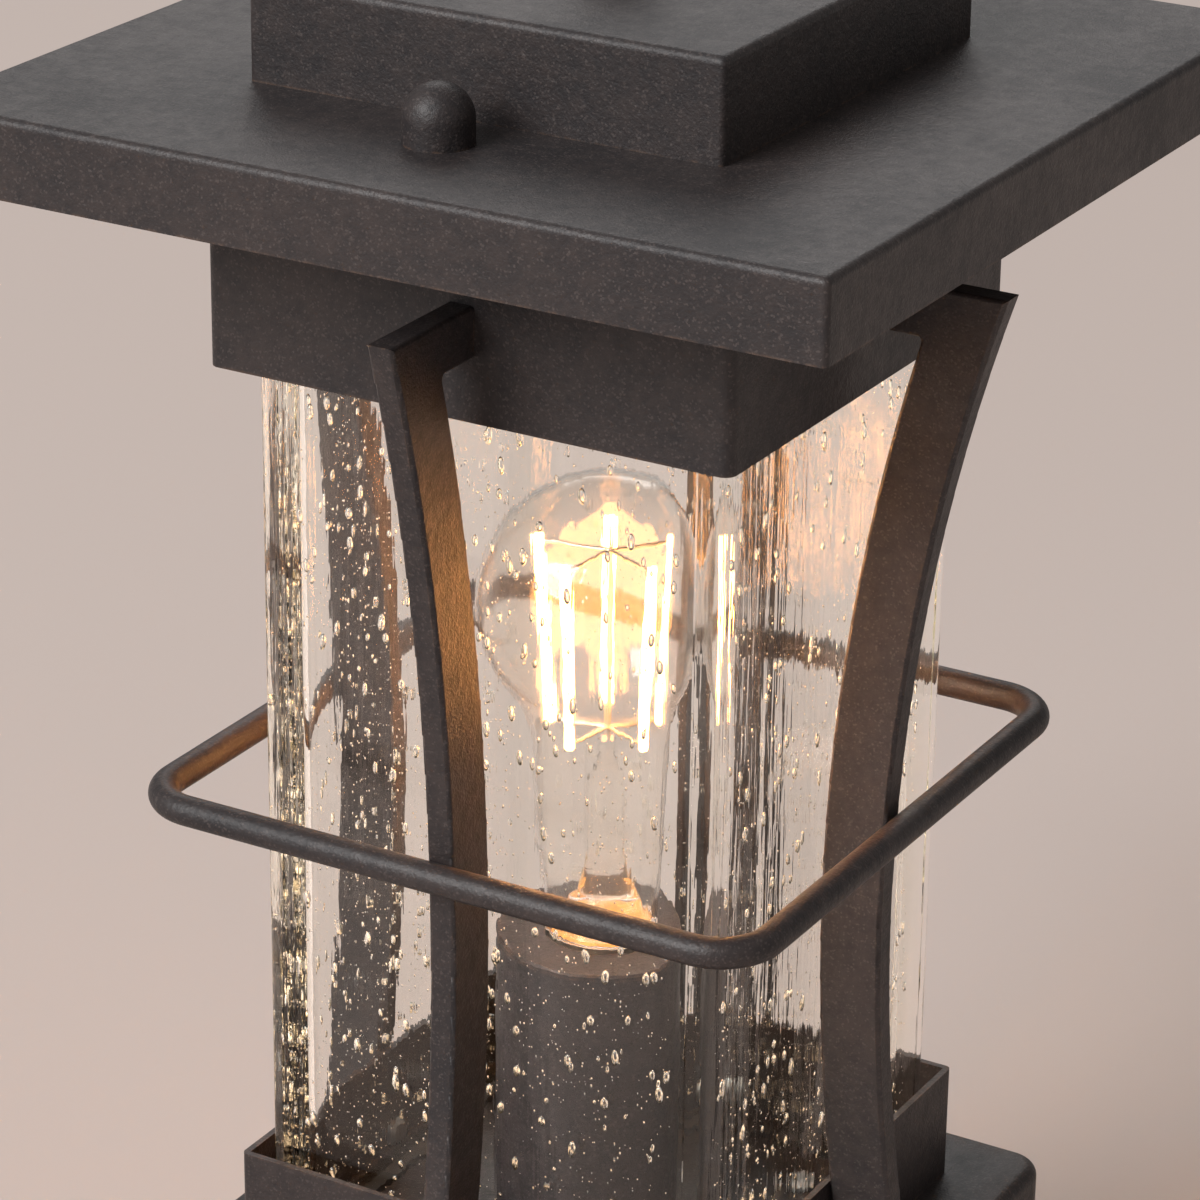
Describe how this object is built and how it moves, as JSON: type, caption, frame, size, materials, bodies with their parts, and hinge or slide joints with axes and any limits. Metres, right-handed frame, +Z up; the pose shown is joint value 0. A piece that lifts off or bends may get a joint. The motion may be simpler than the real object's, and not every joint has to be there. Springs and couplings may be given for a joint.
{
  "type": "post top lantern",
  "caption": "Square outdoor lantern for a round post: stepped roof, seeded glass shade in a bowed-bar cage with a wire ring, one filament lamp.",
  "frame": {"origin": "centre of the post socket's bottom rim, where the lantern stands", "axes": "+Z up along the post; the front is -Y, square to one glass face; +X to the right"},
  "size_m": [0.21, 0.21, 0.4183],
  "materials": {
    "bronze_coat": "dark bronze powder coat with a fine sandy texture",
    "zinc_steel": "zinc plated",
    "seeded_glass": "clear mould-blown glass with seed bubbles",
    "seal_rubber": "matte",
    "white_ceramic": "glazed",
    "brass": "plain",
    "lamp_cap": "nickel plated",
    "lamp_insulator": "black glass insulator",
    "lamp_cement": "matte amber basing cement",
    "lamp_glass": "clear blown glass",
    "filament": "phosphor coated, lit",
    "lamp_wire": "nickel wire"
  },
  "bodies": {
    "cage": {"arm_back": "bronze_coat", "arm_front": "bronze_coat", "arm_left": "bronze_coat", "arm_right": "bronze_coat", "arm_screws_foot": "zinc_steel", "arm_screws_top": "zinc_steel", "base_bolt_nuts": "zinc_steel", "base_bolts": "zinc_steel", "base_plate": "bronze_coat", "centre_contact": "brass", "collar": "bronze_coat", "glass_bumpers": "seal_rubber", "glass_gasket": "seal_rubber", "glass_shade": "seeded_glass", "lampholder_body": "white_ceramic", "lampholder_screws": "zinc_steel", "lampholder_sleeve": "bronze_coat", "lampholder_strap": "zinc_steel", "nipple": "zinc_steel", "nipple_nuts": "zinc_steel", "post_socket": "bronze_coat", "roof_seat_nuts": "zinc_steel", "roof_studs": "zinc_steel", "screw_shell": "brass", "sleeve_cover": "bronze_coat", "stud_lugs": "zinc_steel", "tray": "bronze_coat", "wire_ring": "bronze_coat"},
    "roof": {"roof_plate": "bronze_coat", "roof_tier": "bronze_coat", "finial": "bronze_coat", "finial_nut": "zinc_steel"},
    "lamp": {"bulb_cap": "lamp_cap", "bulb_cement": "lamp_cement", "bulb_filaments": "filament", "bulb_glass": "lamp_glass", "bulb_insulator": "lamp_insulator", "bulb_stem": "lamp_glass", "bulb_tip": "lamp_cap", "bulb_wires": "lamp_wire"},
    "cap_nut_front": {"cap_nut_front": "bronze_coat"},
    "cap_nut_back": {"cap_nut_back": "bronze_coat"},
    "set_screw_right": {"set_screw_right": "bronze_coat"},
    "set_screw_back": {"set_screw_back": "bronze_coat"},
    "set_screw_front": {"set_screw_front": "bronze_coat"}
  },
  "joints": [
    {"name": "roof_lift", "type": "slide", "parent": "cage", "child": "roof", "axis": [0, 0, 1], "range_m": [0, 0.045]},
    {"name": "cap_nut_front_turn", "type": "hinge", "parent": "roof", "child": "cap_nut_front", "pos_m": [0, -0.07175, 0.372], "axis": [0, 0, 1], "continuous": true},
    {"name": "cap_nut_back_turn", "type": "hinge", "parent": "roof", "child": "cap_nut_back", "pos_m": [0, 0.07175, 0.372], "axis": [0, 0, 1], "continuous": true},
    {"name": "lamp_turn", "type": "hinge", "parent": "cage", "child": "lamp", "pos_m": [0, 0, 0.164], "axis": [0, 0, 1], "continuous": true},
    {"name": "set_screw_right_travel", "type": "slide", "parent": "cage", "child": "set_screw_right", "axis": [-1, 0, 0], "range_m": [0, 0.005]},
    {"name": "set_screw_back_travel", "type": "slide", "parent": "cage", "child": "set_screw_back", "axis": [0.5, -0.866, 0], "range_m": [0, 0.005]},
    {"name": "set_screw_front_travel", "type": "slide", "parent": "cage", "child": "set_screw_front", "axis": [0.5, 0.866, 0], "range_m": [0, 0.005]}
  ]
}
